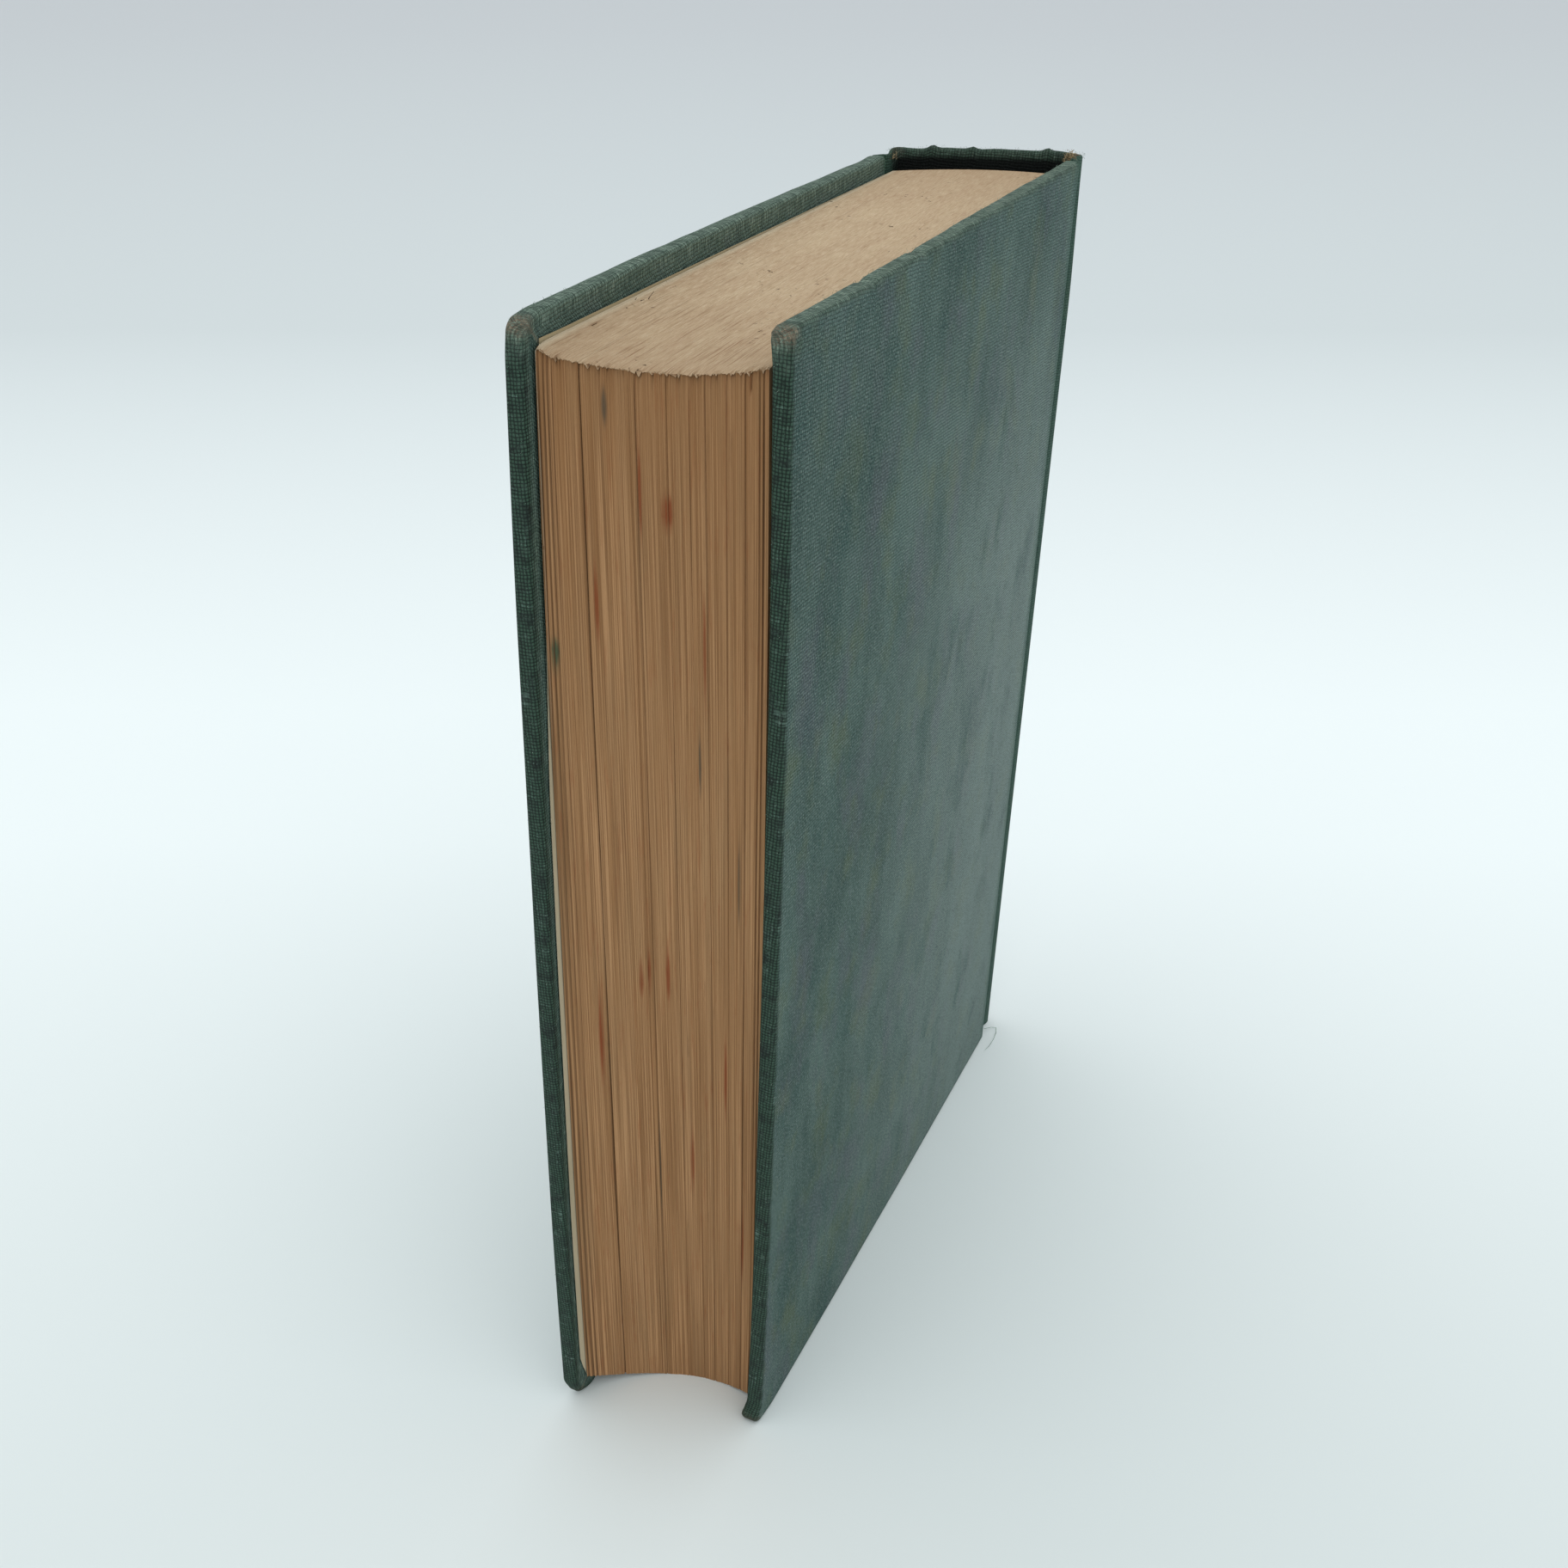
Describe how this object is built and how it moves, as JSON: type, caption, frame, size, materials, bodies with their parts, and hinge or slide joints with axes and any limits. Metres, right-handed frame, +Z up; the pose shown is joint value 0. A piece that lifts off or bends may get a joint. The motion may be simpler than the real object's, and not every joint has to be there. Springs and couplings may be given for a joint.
{
  "type": "hardback book",
  "caption": "Well-used case-bound book in plain green cloth, standing on its tail, with a cocked spine, drooping browned leaves and covers that open.",
  "frame": {"origin": "centre of the bounding box in plan, on the surface that the tail edges stand on", "axes": "+Z up from tail to head, +X from the spine to the fore-edge, +Y from the front cover to the back cover"},
  "size_m": [0.1612, 0.0396, 0.222],
  "materials": {
    "book_cloth": "matt faded green book cloth",
    "binders_board": "grey-brown pressed board",
    "leaves": "browned uncoated paper edges",
    "endpaper": "cream uncoated paper",
    "gauze": "open-weave starched cotton",
    "kraft_paper": "brown kraft paper"
  },
  "bodies": {
    "book_block": {"text_block": "leaves", "front_flyleaf": "endpaper", "back_flyleaf": "endpaper", "spine_gauze": "gauze", "spine_lining": "kraft_paper", "spine_inlay": "binders_board", "spine_cloth": "book_cloth"},
    "front_cover": {"front_board": "binders_board", "front_cover_cloth": "book_cloth", "front_gauze_flange": "gauze", "front_pastedown": "endpaper"},
    "back_cover": {"back_board": "binders_board", "back_cover_cloth": "book_cloth", "back_gauze_flange": "gauze", "back_pastedown": "endpaper"}
  },
  "joints": [
    {"name": "front_cover_hinge", "type": "hinge", "parent": "book_block", "child": "front_cover", "pos_m": [-0.05819, -0.0198, 0], "axis": [0, 0, -1], "range_deg": [0, 180]},
    {"name": "back_cover_hinge", "type": "hinge", "parent": "book_block", "child": "back_cover", "pos_m": [-0.07059, 0.0198, 0], "axis": [0, 0, 1], "range_deg": [0, 180]}
  ]
}
